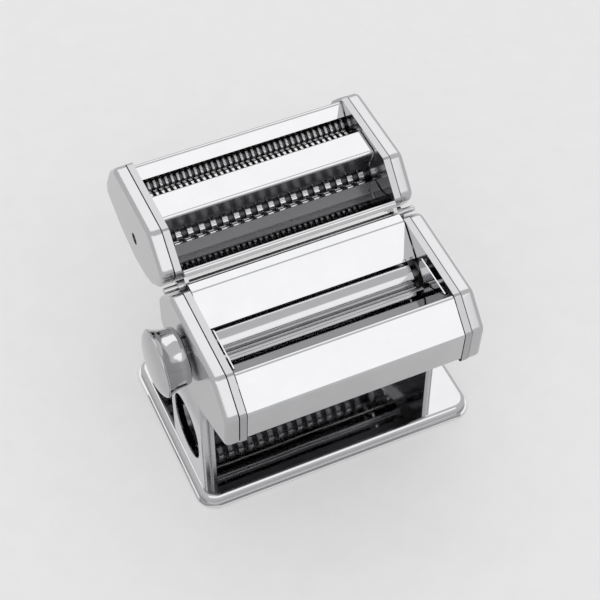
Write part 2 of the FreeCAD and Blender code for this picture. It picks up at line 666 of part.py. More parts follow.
# ---------------------------------------------------------------- sliding carriage
def bearing_block(side):
    """A block that slides in its window; the left one also takes the crank pin of the knob."""
    y = REAR_ROLL[0]
    outer = "plate_out" if side > 0 else "yoke_out"
    low, high = reach(side, "plate_in", outer)
    body = block((low, high), ("%s - block_half_y" % y, "%s + block_half_y" % y),
                 ("roll_z - block_half_z", "roll_z + block_half_z"))
    flange = block(reach(side, "block_flange_in", "plate_in - slack"),
                   ("%s - block_half_y" % y, "%s + block_half_y" % y),
                   ("block_low", "roll_z + block_half_z + 2"))
    neck = block(reach(side, "plate_in - slack", "plate_in"),
                 ("%s - block_half_y" % y, "%s + block_half_y" % y),
                 ("roll_z - block_half_z", "roll_z + block_half_z"))
    depth = "plate_out" if side > 0 else "plate_out - 0.8"
    hole = rod(reach(side, "block_flange_in", depth), y, "roll_z", "journal_radius + run_gap")
    made = cut(group([body, flange, neck]), hole)
    if side < 0:
        slot_y = "%s - knob_offset" % y
        half = "crank_pin + slack"
        slot = block(reach(side, "yoke_slot_in", "yoke_out"),
                     ("%s - (%s)" % (slot_y, half), "%s + (%s)" % (slot_y, half)),
                     ("roll_z - crank_pin - 2", "roll_z + crank_pin + throw + 1"))
        made = cut(made, slot)
    finished(made, side_name(side) + "_bearing_block")


def carriage():
    """The bar that joins the two blocks, and the rear scraper that stands on it."""
    half = "block_flange_in + 1.7"
    bar, blade = scraper("rear", REAR_ROLL, half, "block_low - bar_thick")
    finished(bar, "carriage_bar")
    finished(blade, "rear_scraper")
    bar, blade = scraper("front", FRONT_ROLL, "plate_in", "block_low - bar_thick")
    finished(group([bar, blade]), "front_scraper")


# ---------------------------------------------------------------- thickness knob
def adjuster():
    """The knob's shaft: a crank disc with an eccentric pin inside, a spring head outside."""
    y, z = KNOB_AXIS
    disc = rod(("-crank_disc_out", "-(yoke_out + slack)"), y, z, "crank_disc")
    shaft = rod(("-(knob_head + knob_head_thick)", "-crank_disc_out"), y, z, "knob_shaft")
    head = rod(("-(knob_head + knob_head_thick)", "-knob_head"), y, z, "knob_head_radius")
    pin = rod(("-(yoke_out + slack)", "-(yoke_slot_in + slack)"), "%s - knob_offset" % y,
              "%s + sqrt(throw * throw - knob_offset * knob_offset)" % z, "crank_pin")
    finished(group([disc, shaft, head, pin]), "adjuster_shaft")


def knob():
    """The round grip, its domed cap, and the pin that clicks it into a setting."""
    body = turned("thickness_knob", KNOB_AXIS, [
        ("-knob_in", "knob_shaft + run_gap"), ("-knob_in", "knob_small - knob_bevel"),
        ("-knob_in - knob_bevel", "knob_small"), ("-knob_rim + knob_bevel", "knob_large"),
        ("-knob_rim", "knob_large - knob_bevel"), ("-knob_rim", "knob_chamber"),
        ("-knob_web", "knob_chamber"), ("-knob_web", "knob_shaft + run_gap")])
    cap = new_body("knob_cap", KNOB_AXIS[0], KNOB_AXIS[1])
    sketch = sketch_on(cap, "XY_Plane")
    dome(sketch)
    revolve(cap, sketch)
    finished(rod(("-knob_in", "-(cover_out - stop_groove_deep + slack)"),
                 "%s + stop_ring" % KNOB_AXIS[0], KNOB_AXIS[1], "stop_pin"), "detent_pin")
    return body


def dome(sketch):
    """Half section of the cap: flat back, a short rim and a low crown."""
    outline(sketch, [("-knob_rim", "0"), ("-knob_rim", "knob_large - knob_bevel"),
                     ("-knob_rim - 1.5", "knob_large - knob_bevel - 0.8"),
                     ("-knob_rim - 2.8", "knob_large - knob_bevel - 2.8"),
                     ("-knob_end + 1.6", "knob_large * 0.66"),
                     ("-knob_end + 0.5", "knob_large * 0.38"),
                     ("-knob_end", "knob_large * 0.12"), ("-knob_end", "0")])


def knob_spring():
    """A round-wire coil between the web of the knob and the head of its shaft."""
    body = new_body("knob_spring", KNOB_AXIS[0], KNOB_AXIS[1])
    section = sketch_on(body, "XY_Plane")
    circle(section, "-knob_web - spring_wire - 0.1", "spring_mean", "spring_wire")
    coil = body.newObject("PartDesign::AdditiveHelix", "Coil")
    coil.Profile = section
    coil.ReferenceAxis = (section, ["H_Axis"])
    coil.Mode = 1
    coil.Reversed = True
    bind(coil, Turns="spring_turns",
         Pitch="(knob_head - knob_web - 2 * spring_wire - 0.2) / spring_turns")
    doc.recompute()


# ---------------------------------------------------------------- cutter unit
def cutter_plate(side):
    """The side plate that carries the four cutting rollers."""
    body = slab("cutter_%s_plate" % side_name(side), side, "plate_in", "plate_out", CUTTER)
    round_edges(body, corner_edges(body, CUTTER), "corner_round")
    for centre in CUT_AXES:
        bore(body, side, "plate_in", "plate_out", centre, "cut_bush")


def cutter_cover(side):
    """The bright end cover of the cutter, with sockets for the crank on the right."""
    body = shell("cutter_%s_cover" % side_name(side), side, CUTTER)
    if side < 0:
        bore(body, side, "cover_out - cover_wall", "cover_out",
             ("cover_mark_y", "cover_mark_z"), "cover_mark_radius")
        return
    for centre in (FINE_FRONT, WIDE_FRONT):
        bore(body, side, "cover_out - cover_wall", "cover_out", centre, "crank_hole")


def cutter_sheets():
    """Bent sheets: the hood behind, the bar between the slots and the chute in front."""
    hood = new_body("cutter_back_panel")
    folded_sheet(hood, [("hood_edge_y", "hood_edge_z"), ("hood_top_y", "hood_top_z"),
                        ("hood_nape_y", "hood_nape_z"), ("hood_back_y", "hood_back_z"),
                        ("hood_low_y", "hood_low_z")], "sheet")
    bar = new_body("cutter_middle_bar")
    folded_sheet(bar, [("bar_foot_y", "bar_foot_z"), ("bar_lip_y", "bar_lip_z"),
                       ("bar_front_y", "bar_top_z"), ("bar_back_y", "bar_top_z"),
                       ("bar_return_y", "bar_return_z")], "sheet")
    chute = new_body("cutter_front_panel")
    folded_sheet(chute, [("chute_tip_y", "chute_tip_z"), ("chute_lip_y", "chute_lip_z"),
                         ("chute_fall_y", "chute_fall_z"), ("chute_low_y", "chute_low_z"),
                         ("chute_end_y", "chute_end_z")], "sheet")


def cutter_bushes(side):
    """Four plain bearings pressed into a cutter side plate."""
    rings = []
    for y, z in CUT_AXES:
        tube = rod(reach(side, "plate_in", "plate_out"), y, z, "cut_bush")
        hole = rod(reach(side, "plate_in", "plate_out"), y, z, "cut_journal + run_gap")
        rings.append(cut(tube, hole))
    finished(gathered(rings), "cutter_%s_bushes" % side_name(side))


def ridged_roller(label, axis, pitch, count, land, driven):
    """A cutting roller: a core turned with its necks and a row of square ridges."""
    right = "socket_out" if driven else "plate_out"
    body = turned(label, axis, [
        ("-gear_in - cut_gear_thick", "0"), ("-gear_in - cut_gear_thick", "cut_gear_seat"),
        ("-gear_in", "cut_gear_seat"), ("-gear_in", "cut_journal"),
        ("-(panel_half)", "cut_journal"), ("-(panel_half)", "cut_floor"),
        ("panel_half", "cut_floor"), ("panel_half", "cut_journal"),
        (right, "cut_journal"), (right, "0")])
    first = "-(%s - 1) * %s / 2 - %s / 2" % (count, pitch, land)
    ridge = pad(body, circle(sketch_on(body, "YZ_Plane", first), "0", "0", "cut_radius"), land)
    row_pattern(body, ridge, "(%s - 1) * %s" % (count, pitch), count)
    if driven:
        hole = sketch_on(body, "YZ_Plane", "socket_out")
        pocket(body, circle(hole, "0", "0", "socket_radius"), "socket_depth", -1)


def comb(label, axis, pitch, count, finger):
    """A bar under a cutting roller whose fingers clear the pasta out of its grooves."""
    body = new_body(label, axis[0], axis[1])
    bar = sketch_on(body, "YZ_Plane", "-(plate_in)")
    box_outline(bar, "-comb_half_y", "comb_half_y", "-(comb_top + comb_thick)", "-comb_top")
    pad(body, bar, "2 * plate_in")
    first = "-(%s - 1) * %s / 2 - %s / 2" % (count, pitch, finger)
    tooth = sketch_on(body, "YZ_Plane", first)
    box_outline(tooth, "-finger_half_y", "finger_half_y", "-comb_top", "-(cut_floor + finger_gap)")
    row_pattern(body, pad(body, tooth, finger), "(%s - 1) * %s" % (count, pitch), count)


def cutting_sets():
    """The fine pair and the wide pair, each with its two wheels and its two combs."""
    fine = ("fine_pitch", "fine_land", "fine_finger", "fine_ridges")
    wide = ("wide_pitch", "wide_land", "wide_finger", "wide_ridges")
    spacing = amount("cut_spacing")
    teeth = int(amount("cut_teeth"))
    shares = (amount("cut_tip_share"), amount("cut_foot_share"))
    for name, axes, (pitch, land, finger, most) in (("fine", (FINE_FRONT, FINE_REAR), fine),
                                                    ("wide", (WIDE_FRONT, WIDE_REAR), wide)):
        for place, axis, fewer in (("front", axes[0], 1), ("rear", axes[1], 0)):
            label = "%s_%s" % (name, place)
            ridged_roller(label + "_cutter", axis, pitch, "(%s - %d)" % (most, fewer), land,
                          place == "front")
            comb(label + "_comb", axis, pitch, "(%s - %d)" % (most, fewer + 1), finger)
            wheel = spur_gear(label + "_gear", teeth, spacing, shares,
                              amount("cut_gear_thick"), amount("cut_gear_seat"),
                              amount("cut_backlash"),
                              0 if place == "front" else math.pi / teeth)
            placed(wheel, "-gear_in - cut_gear_thick", axis[0], axis[1])


def hook(side):
    """A hook on the cutter's side plate that drops over the rest rod."""
    y, z = REST_ROD
    gap = "(rest_rod_radius + hook_clear)"
    points = [("%s - %s - hook_wall" % (y, gap), "%s - 2" % z),
              ("%s - %s - hook_wall" % (y, gap), "%s + 4.5" % z),
              ("%s - 1" % y, "%s + 8" % z), ("%s + 9" % y, "%s + 4.5" % z),
              ("%s + 17" % y, "%s + 1" % z), ("%s + 17" % y, "%s - 4" % z),
              ("%s + 10" % y, "%s - 4" % z), ("%s + 4.5" % y, "%s - 2" % z),
              ("%s + %s" % (y, gap), "%s - 2" % z), ("%s + %s" % (y, gap), "%s + 1.2" % z),
              ("%s + 1.2" % y, "%s + %s" % (z, gap)), ("%s - 1.2" % y, "%s + %s" % (z, gap)),
              ("%s - %s" % (y, gap), "%s + 1.2" % z), ("%s - %s" % (y, gap), "%s - 2" % z)]
    slab("cutter_%s_hook" % side_name(side), side, "hook_in", "plate_in", points)


base_plate()
base_mat()
for hand in (-1, 1):
    leg_plate(hand)
    stand(hand)
    leg_rivets(hand)
    side_frame(hand)
    end_cover(hand)
    cheek(hand)
    bush(hand)
    bearing_block(hand)
    cutter_plate(hand)
    cutter_cover(hand)
    cutter_bushes(hand)
    hook(hand)
housing_sheets()
cross_rods()
rollers_and_gears()
carriage()
adjuster()
knob()
knob_spring()
cutter_sheets()
cutting_sets()
doc.recompute()

for thing in doc.Objects:
    if "Invalid" in thing.State or "Error" in thing.State:
        raise RuntimeError("%s does not rebuild" % thing.Label)
os.makedirs("parts", exist_ok=True)
for thing in PARTS:
    shape = thing.Shape
    if shape.isNull() or not shape.isValid() or not shape.Solids:
        raise RuntimeError("%s has no sound solid" % thing.Label)
    shape.exportStep("parts/%s.step" % thing.Label)
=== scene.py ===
"""A hand-cranked pasta machine in polished steel: smooth sheet rollers in front, a lift-off cutter behind."""

import bmesh
import bpy
import json
import math
import numpy as np
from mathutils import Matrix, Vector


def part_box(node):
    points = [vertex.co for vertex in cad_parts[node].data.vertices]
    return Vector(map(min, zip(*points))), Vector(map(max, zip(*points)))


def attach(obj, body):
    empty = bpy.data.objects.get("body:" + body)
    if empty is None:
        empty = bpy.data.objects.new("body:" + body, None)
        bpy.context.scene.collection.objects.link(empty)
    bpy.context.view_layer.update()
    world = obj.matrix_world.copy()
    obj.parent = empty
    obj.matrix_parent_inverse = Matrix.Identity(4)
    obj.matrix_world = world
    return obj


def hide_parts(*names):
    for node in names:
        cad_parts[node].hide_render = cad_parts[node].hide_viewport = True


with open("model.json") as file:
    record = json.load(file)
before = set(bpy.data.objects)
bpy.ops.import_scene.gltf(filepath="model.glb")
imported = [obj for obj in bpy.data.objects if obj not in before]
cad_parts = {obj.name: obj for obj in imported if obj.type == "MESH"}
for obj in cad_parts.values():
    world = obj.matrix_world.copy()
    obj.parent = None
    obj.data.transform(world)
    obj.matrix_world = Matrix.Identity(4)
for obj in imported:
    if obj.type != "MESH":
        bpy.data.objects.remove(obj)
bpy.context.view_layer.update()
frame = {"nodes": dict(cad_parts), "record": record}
MM = 0.001


# ------------------------------------------------------------ camera, floor and studio light
# The machine is seen from its front left corner and well above, through a long lens. It
# stands on a pale seamless floor in a pale room, which its polished faces show, and two wide
# soft lamps hang in front of it and behind it.
def camera(place, turn, lens):
    """A camera at a place in millimetres, turned by three angles in degrees."""
    data = bpy.data.cameras.new("camera")
    data.lens = lens
    data.sensor_width = 36
    data.clip_end = 20
    eye = bpy.data.objects.new("camera", data)
    eye.location = [MM * v for v in place]
    eye.rotation_euler = [math.radians(a) for a in turn]
    bpy.context.collection.objects.link(eye)
    bpy.context.scene.camera = eye


camera((-269.4, -595.9, 877.8), (39.89, 0, -24.24), 96.0)
bpy.context.scene.view_settings.view_transform = "Standard"


class Val:
    """A shader socket, or a number, that ordinary arithmetic can be written with."""

    def __init__(self, tree, link):
        self.tree = tree
        self.link = link

    def maths(self, operation, *others, clamp=False):
        values = [other.link if isinstance(other, Val) else other for other in (self,) + others]
        return make(self.tree, "ShaderNodeMath", dict(operation=operation, use_clamp=clamp),
                    dict(enumerate(values)))[0]

    def __add__(self, other):
        return self.maths("ADD", other)

    def __sub__(self, other):
        return self.maths("SUBTRACT", other)

    def __rsub__(self, other):
        return Val(self.tree, other).maths("SUBTRACT", self)

    def __mul__(self, other):
        return self.maths("MULTIPLY", other)

    __radd__ = __add__
    __rmul__ = __mul__


class Outputs:
    """The output sockets of a node, picked by name or number."""

    def __init__(self, tree, node):
        self.tree = tree
        self.node = node

    def __getitem__(self, key):
        return Val(self.tree, self.node.outputs[key])


def make(tree, kind, settings=None, inputs=None):
    """Any node: its type, then its settings, then the values or links of its sockets."""
    node = tree.nodes.new(kind)
    for key, value in (settings or {}).items():
        if key == "stops":
            ramp = node.color_ramp.elements
            while len(ramp) < len(value):
                ramp.new(0.5)
            for element, (place, shade) in zip(ramp, value):
                element.position = place
                element.color = (shade, shade, shade, 1)
        else:
            setattr(node, key, value)
    for key, value in (inputs or {}).items():
        link = value.link if isinstance(value, Val) else value
        if isinstance(link, bpy.types.NodeSocket):
            tree.links.new(link, node.inputs[key])
        else:
            node.inputs[key].default_value = link
    return Outputs(tree, node)


PALE = 0.83
ROOM_LIGHT = 0.55


def shown(tree):
    """1 for the rays that see the background: straight from the camera, off polished metal,
    or through glass. 0 for the rays that only carry light."""
    path = make(tree, "ShaderNodeLightPath")
    rays = path["Is Camera Ray"] + path["Is Glossy Ray"] + path["Is Transmission Ray"]
    return rays.maths("MINIMUM", 1.0)


def pale_room():
    """One pale grey all round wherever it is seen, in metal as much as directly."""
    world = bpy.data.worlds.new("room")
    bpy.context.scene.world = world
    world.use_nodes = True
    tree = world.node_tree
    tree.nodes.clear()
    level = shown(tree) * (PALE - ROOM_LIGHT) + ROOM_LIGHT
    glow = make(tree, "ShaderNodeBackground", None, {"Color": (1, 1, 1, 1), "Strength": level})
    make(tree, "ShaderNodeOutputWorld", None, {"Surface": glow["Background"]})


def softbox(name, place, aim, size, watts):
    """A rectangular area lamp at a place, facing a point; all in metres."""
    data = bpy.data.lights.new(name, "AREA")
    data.shape = "RECTANGLE"
    data.size, data.size_y = size
    data.energy = watts
    lamp = bpy.data.objects.new(name, data)
    lamp.location = place
    reach = np.array(aim, float) - np.array(place, float)
    turn = math.atan2(reach[1], reach[0]) - math.pi / 2
    lamp.rotation_euler = (math.atan2(math.hypot(reach[0], reach[1]), -reach[2]), 0, turn)
    bpy.context.collection.objects.link(lamp)


pale_room()
softbox("back_lamp", (0.34, 0.95, 1.25), (0, 0.0, 0.12), (1.7, 0.9), 3.9)
softbox("front_lamp", (-0.30, -0.95, 1.2), (0, 0, 0.12), (2.3, 1.0), 5.9)


def finish_of(name, colour, metallic, roughness, grain=None, wave=None):
    """A skin whose roughness wanders with faint smudges and handling marks. grain is a
    (scale, strength) of fine scratches, wave a (scale, strength) of slow buckling."""
    material = bpy.data.materials.new(name)
    material.use_nodes = True
    tree = material.node_tree
    tree.nodes.clear()
    place = make(tree, "ShaderNodeTexCoord")["Object"]
    smudge = make(tree, "ShaderNodeTexNoise", None,
                  {"Vector": place, "Scale": 45.0, "Detail": 5.0, "Roughness": 0.6})["Fac"]
    shade = make(tree, "ShaderNodeMix", {"data_type": "RGBA"},
                 {0: smudge, 6: (*[c * 0.94 for c in colour], 1),
                  7: (*[min(1, c * 1.06) for c in colour], 1)})[2]
    inputs = {"Base Color": shade, "Metallic": metallic,
              "Roughness": roughness[0] + smudge * (roughness[1] - roughness[0])}
    relief = []
    if grain:
        stretch = make(tree, "ShaderNodeMapping", None,
                       {"Vector": place, "Scale": grain[0]})["Vector"]
        fine = make(tree, "ShaderNodeTexNoise", None, {"Vector": stretch, "Scale": 1.0,
                                                       "Detail": 3.0})["Fac"]
        relief.append((fine, grain[1], 0.00002))
    if wave:
        slow = make(tree, "ShaderNodeTexNoise", None, {"Vector": place, "Scale": wave[0],
                                                       "Detail": 1.0})["Fac"]
        relief.append((slow, wave[1], 0.0006))
    for height, strength, distance in relief:
        sockets = {"Height": height, "Strength": strength, "Distance": distance}
        if "Normal" in inputs:
            sockets["Normal"] = inputs["Normal"]
        inputs["Normal"] = make(tree, "ShaderNodeBump", None, sockets)["Normal"]
    surface = make(tree, "ShaderNodeBsdfPrincipled", None, inputs)
    make(tree, "ShaderNodeOutputMaterial", None, {"Surface": surface["BSDF"]})
    return material


def sheet_floor():
    """A pale matt floor, far larger than the machine; it glows a little wherever it is seen,
    in metal too, and keeps the shadow of the machine."""
    mesh = bpy.data.meshes.new("floor")
    mesh.from_pydata([(-6, -6, 0), (6, -6, 0), (6, 6, 0), (-6, 6, 0)], [], [(0, 1, 2, 3)])
    floor = bpy.data.objects.new("floor", mesh)
    bpy.context.collection.objects.link(floor)
    material = finish_of("floor_paper", (0.62, 0.62, 0.62), 0.0, (0.85, 0.95))
    tree = material.node_tree
    paper = next(node for node in tree.nodes if node.type == "BSDF_PRINCIPLED")
    glow = make(tree, "ShaderNodeEmission", None,
                {"Color": (1, 1, 1, 1), "Strength": shown(tree) * FLOOR_GLOW})["Emission"]
    both = make(tree, "ShaderNodeAddShader", None, {0: paper.outputs["BSDF"], 1: glow})
    output = next(node for node in tree.nodes if node.type == "OUTPUT_MATERIAL")
    tree.links.new(both["Shader"].link, output.inputs["Surface"])
    mesh.materials.append(material)


FLOOR_GLOW = 0.31
sheet_floor()


# ------------------------------------------------------------ base tray
# A mirror-polished steel tray on a rubber mat: flat top, rounded shoulder, upright skirt and
# a narrow flange round its foot. It is pressed in one piece.
def rounded_box_loop(half_x, half_y, radius, steps=14):
    """Points round a rectangle whose corners are quarter circles of one radius."""
    turn = np.linspace(0, math.pi / 2, steps)
    loops = []
    for quarter, (a, b) in enumerate(((1, 1), (-1, 1), (-1, -1), (1, -1))):
        angle = turn + quarter * math.pi / 2
        loops.append(np.stack([a * (half_x - radius) + radius * np.cos(angle),
                               b * (half_y - radius) + radius * np.sin(angle)], 1))
    return np.concatenate(loops)


def skin(name, rows, joined=False, caps=()):
    """A mesh over rows of points: each row is a closed ring, neighbouring rows are joined by
    quads, the last row joins the first if joined, and the rows in caps are filled. When joined
    is a set of row indices, the strip that starts at each of them is skipped."""
    rows = np.asarray(rows, float)
    count, ring = rows.shape[:2]
    skip = joined if isinstance(joined, set) else set()
    first = np.array([i for i in range(count if joined else count - 1) if i not in skip])
    i, j = np.meshgrid(first, np.arange(ring), indexing="ij")
    following = (i + 1) % count
    beside = (j + 1) % ring
    quads = np.stack([i * ring + j, following * ring + j, following * ring + beside,
                      i * ring + beside], -1).reshape(-1, 4)
    faces = [tuple(q) for q in quads.tolist()]
    faces += [tuple(range(k * ring, (k + 1) * ring)) for k in caps]
    mesh = bpy.data.meshes.new(name)
    mesh.from_pydata((rows.reshape(-1, 3) * MM).tolist(), [], faces)
    loose = bmesh.new()
    loose.from_mesh(mesh)
    bmesh.ops.remove_doubles(loose, verts=loose.verts, dist=1e-7)
    bmesh.ops.recalc_face_normals(loose, faces=loose.faces)
    loose.to_mesh(mesh)
    loose.free()
    piece = bpy.data.objects.new(name, mesh)
    bpy.context.collection.objects.link(piece)
    return piece


def carve(piece, *tools):
    """Cut the tools out of the piece for good, and remove them."""
    for tool in tools:
        cut = piece.modifiers.new("cut", "BOOLEAN")
        cut.object = tool
        cut.solver = "EXACT"
    graph = bpy.context.evaluated_depsgraph_get()
    mesh = bpy.data.meshes.new_from_object(piece.evaluated_get(graph))
    piece.modifiers.clear()
    piece.data = mesh
    for tool in tools:
        bpy.data.objects.remove(tool)
    return piece


def settle(piece, slot, body, *nodes, crease=32, edge=None):
    """Finish a piece: smooth shading with creases, flat faces kept flat, its material, its
    body and the nodes it stands for. edge is the width of a worn bevel, in millimetres."""
    piece.data.shade_smooth()
    if edge:
        worn = piece.modifiers.new("edge", "BEVEL")
        worn.width = edge * MM
        worn.segments = 2
        worn.limit_method = "ANGLE"
        worn.angle_limit = math.radians(38)
    else:
        piece.data.set_sharp_from_angle(angle=math.radians(crease))
    flat = piece.modifiers.new("flat", "WEIGHTED_NORMAL")
    flat.keep_sharp = True
    piece.data.materials.clear()
    piece.data.materials.append(FINISH[slot])
    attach(piece, body)
    if nodes:
        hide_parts(*nodes)
    return piece


FINISH = {
    "chromed_steel": finish_of("chromed_steel", (0.50, 0.50, 0.51), 1.0, (0.13, 0.24),
                               grain=((60, 900, 900), 0.25), wave=(22, 0.12)),
    "chromed_base": finish_of("chromed_base", (0.52, 0.52, 0.53), 1.0, (0.02, 0.07),
                              wave=(16, 0.25)),
    "polished_sheet": finish_of("polished_sheet", (0.55, 0.55, 0.56), 1.0, (0.02, 0.07),
                                wave=(12, 0.20)),
    "plate_steel": finish_of("plate_steel", (0.42, 0.42, 0.43), 1.0, (0.12, 0.24),
                             grain=((500, 60, 500), 0.2)),
    "roller_steel": finish_of("roller_steel", (0.50, 0.50, 0.51), 1.0, (0.08, 0.16),
                              grain=((900, 60, 60), 0.2)),
    "gear_steel": finish_of("gear_steel", (0.30, 0.30, 0.31), 1.0, (0.25, 0.45)),
    "bronze": finish_of("bronze", (0.50, 0.36, 0.20), 1.0, (0.25, 0.4)),
    "rubber": finish_of("rubber", (0.03, 0.03, 0.03), 0.0, (0.6, 0.8)),
    "spring_steel": finish_of("spring_steel", (0.5, 0.5, 0.5), 1.0, (0.2, 0.3)),
    "chromed_knob": finish_of("chromed_knob", (0.52, 0.52, 0.53), 1.0, (0.05, 0.13),
                              wave=(40, 0.15)),
    "inner_steel": finish_of("inner_steel", (0.10, 0.10, 0.105), 1.0, (0.3, 0.5)),
    "plain_steel": finish_of("plain_steel", (0.55, 0.55, 0.56), 1.0, (0.14, 0.28)),
}
SLOTS = {part["node"]: part["material_slot"] for part in frame["record"]["subparts"]}
for node, thing in frame["nodes"].items():
    thing.data.materials.clear()
    thing.data.materials.append(FINISH[SLOTS[node]])

TRAY_X, TRAY_Y = (MM ** -1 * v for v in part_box("base_plate")[1][:2])
TRAY_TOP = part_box("base_plate")[1][2] / MM
TRAY_CORNER = 13


def base_tray():
    """Rings of the rounded rectangle, each set in and raised by a step of the section."""
    swing = np.linspace(0, math.pi / 2, 9)
    shoulder = [(5.5 - 3.5 * math.cos(a), TRAY_TOP - 3.5 + 3.5 * math.sin(a)) for a in swing]
    inside = [(5.5 - 2.5 * math.cos(a), TRAY_TOP - 3.5 + 2.5 * math.sin(a)) for a in swing[::-1]]
    section = [(0.15, 0.8), (0, 1.0), (0, 1.6), (0.25, 1.8), (1.5, 1.8), (1.85, 1.95), (2, 2.3)]
    section += shoulder + inside + [(3, 1.2), (2.7, 0.8)]
    rows = []
    for inset, height in section:
        ring = rounded_box_loop(TRAY_X - inset, TRAY_Y - inset, TRAY_CORNER - inset)
        rows.append(np.column_stack([ring, np.full(len(ring), height)]))
    top = 7 + len(shoulder) - 1
    tray = skin("base_tray", rows, joined={top}, caps=(top, top + 1))
    settle(tray, "chromed_base", "frame", "base_plate")


base_tray()


# ------------------------------------------------------------ legs
# Each leg is a flat plate riveted to the side frame, with a bent channel round its outside.
# Both are cut by one arch at the foot, and stand on the tray.
def bends(corners, radius, closed=True, steps=8):
    """A polygon with every corner turned into an arc. Returns the points and their unit
    normals, which point to the left of the way of travel. An arc starts and ends where a
    circle of the radius touches both sides, and shrinks to fit short sides."""
    corners = np.asarray(corners, float)
    count = len(corners)
    points, normals = [], []
    turning = range(count) if closed else range(1, count - 1)
    if not closed:
        away = corners[1] - corners[0]
        away /= np.hypot(*away)
        points.append(corners[:1])
        normals.append(np.array([[-away[1], away[0]]]))
    for k in turning:
        before, here, after = corners[k - 1], corners[k], corners[(k + 1) % count]
        came, goes = here - before, after - here
        long_a, long_b = np.hypot(*came), np.hypot(*goes)
        came, goes = came / long_a, goes / long_b
        bend = math.atan2(came[0] * goes[1] - came[1] * goes[0], came @ goes)
        touch = min(radius * abs(math.tan(bend / 2)), 0.48 * min(long_a, long_b))
        size = touch / abs(math.tan(bend / 2))
        heading = math.atan2(came[1], came[0]) + bend * np.linspace(0, 1, steps)
        left = np.stack([-np.sin(heading), np.cos(heading)], 1)
        side = math.copysign(1, bend)
        centre = here - came * touch + side * size * left[0]
        points.append(centre - side * size * left)
        normals.append(left)
    if not closed:
        away = corners[-1] - corners[-2]
        away /= np.hypot(*away)
        points.append(corners[-1:])
        normals.append(np.array([[-away[1], away[0]]]))
    return np.concatenate(points), np.concatenate(normals)


def folded(name, corners, radius, thick, span, order=(1, 2, 0)):
    """A bent sheet: an open path with rounded folds, given a thickness to its right and
    carried in a straight line over a span. order gives the axes of the path and the span."""
    path, left = bends(corners, radius, closed=False)
    ring = np.concatenate([path, (path - thick * left)[::-1]])
    rows = np.empty((len(span), len(ring), 3))
    rows[..., order[0]] = ring[:, 0]
    rows[..., order[1]] = ring[:, 1]
    rows[..., order[2]] = np.asarray(span, float)[:, None]
    return skin(name, rows, caps=(0, len(span) - 1))


def drum(name, low, high, centre, radius, steps=96):
    """A cylinder along X between two places; its radius may be one value or one per end."""
    angle = np.linspace(0, 2 * math.pi, steps, endpoint=False)
    rows = [np.column_stack([np.full(steps, x), centre[0] + radius * np.cos(angle),
                             centre[1] + radius * np.sin(angle)]) for x in (low, high)]
    return skin(name, rows, caps=(0, 1))


def slab(name, low, high):
    """A plain box between two corners, for cutting."""
    ring = np.array([(low[1], low[2]), (high[1], low[2]), (high[1], high[2]), (low[1], high[2])])
    rows = [np.column_stack([np.full(4, x), ring]) for x in (low[0], high[0])]
    return skin(name, rows, caps=(0, 1))


ARCH = (-2, 12)
ARCH_RADIUS = 21


def channel_leg(side, word):
    """A channel open to the middle, 1 mm thick, with the arch cut through its outer wall."""
    low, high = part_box(word + "_stand")
    inner, outer = sorted(abs(v) / MM for v in (low[0], high[0]))
    front, back, foot, top = low[1] / MM, high[1] / MM, low[2] / MM, high[2] / MM
    path = [(inner, back), (outer, back), (outer, front), (inner, front)]
    leg = folded(word + "_channel_leg", [(side * x, y) for x, y in path[::side]], 1.6, 1.0,
                 np.array([foot, top]), order=(0, 1, 2))
    carve(leg, drum("arch", side * (inner + 1.2), side * (outer + 2), ARCH, ARCH_RADIUS))
    settle(leg, "chromed_steel", "frame", word + "_stand", edge=0.2)


channel_leg(-1, "left")
channel_leg(1, "right")


# ------------------------------------------------------------ end covers
# A drawn steel shell closes each end of the roller housing and of the cutter. Its rim is
# rounded over into a flat outer face, and it clips over the side plate.
HOUSING = [(-83, 116), (-64.5, 134), (5, 135), (29, 109), (29, 88), (24, 82), (0, 70),
           (-38, 70), (-81, 87.5)]
CUTTER = [(15.5, 139), (35.6, 160), (99, 158.5), (110.5, 146), (120, 128.6), (122, 118),
          (115, 114), (98, 106), (71, 101), (50.5, 104.3), (38.8, 109), (28.5, 118), (21, 129)]
COVER_IN, COVER_OUT, COVER_WALL, COVER_ROLL = 77.2, 86, 1.3, 3.4


def cover(name, side, corners, radius):
    """Rings of the rounded outline: straight out along the rim, over a quarter circle to the
    outer face, and back along the inside at one wall's depth."""
    path, left = bends(corners, radius, steps=10)
    swing = np.linspace(0, math.pi / 2, 9)
    start = COVER_OUT - COVER_ROLL
    deep = COVER_ROLL - COVER_WALL
    outside = [(COVER_IN, 0.35), (COVER_IN + 0.35, 0.0)]
    outside += [(start + COVER_ROLL * math.sin(a), COVER_ROLL * (1 - math.cos(a))) for a in swing]
    inside = [(start + deep * math.sin(a), COVER_ROLL - deep * math.cos(a)) for a in swing[::-1]]
    inside += [(COVER_IN, COVER_WALL)]
    rows = [np.column_stack([np.full(len(path), side * x), path - inset * left])
            for x, inset in outside + inside]
    face = len(outside) - 1
    return skin(name, rows, joined={face}, caps=(face, face + 1))


for side, word in ((-1, "left"), (1, "right")):
    shell = cover(word + "_cover", side, HOUSING, 6.5)
    notch = slab("notch", (side * 80.8 - 4.1, -34.3, 60), (side * 80.8 + 4.1, 27.3, 88.3))
    hole = drum("hole", side * 80, side * 90, (-16, 103.5) if side < 0 else (-40.5, 103.5),
                4.1 if side < 0 else 5.6)
    settle(carve(shell, notch, hole), "chromed_steel", "frame", word + "_end_cover")
    shell = cover("cutter_" + word + "_shell", side, CUTTER, 7.5)
    spots = [(67, 125)] if side < 0 else [(79.2, 136), (45.9, 121.5)]
    holes = [drum("hole", side * 80, side * 90, spot, 4 if side < 0 else 5.6) for spot in spots]
    settle(carve(shell, *holes), "chromed_steel", "cutter_unit", "cutter_" + word + "_cover")


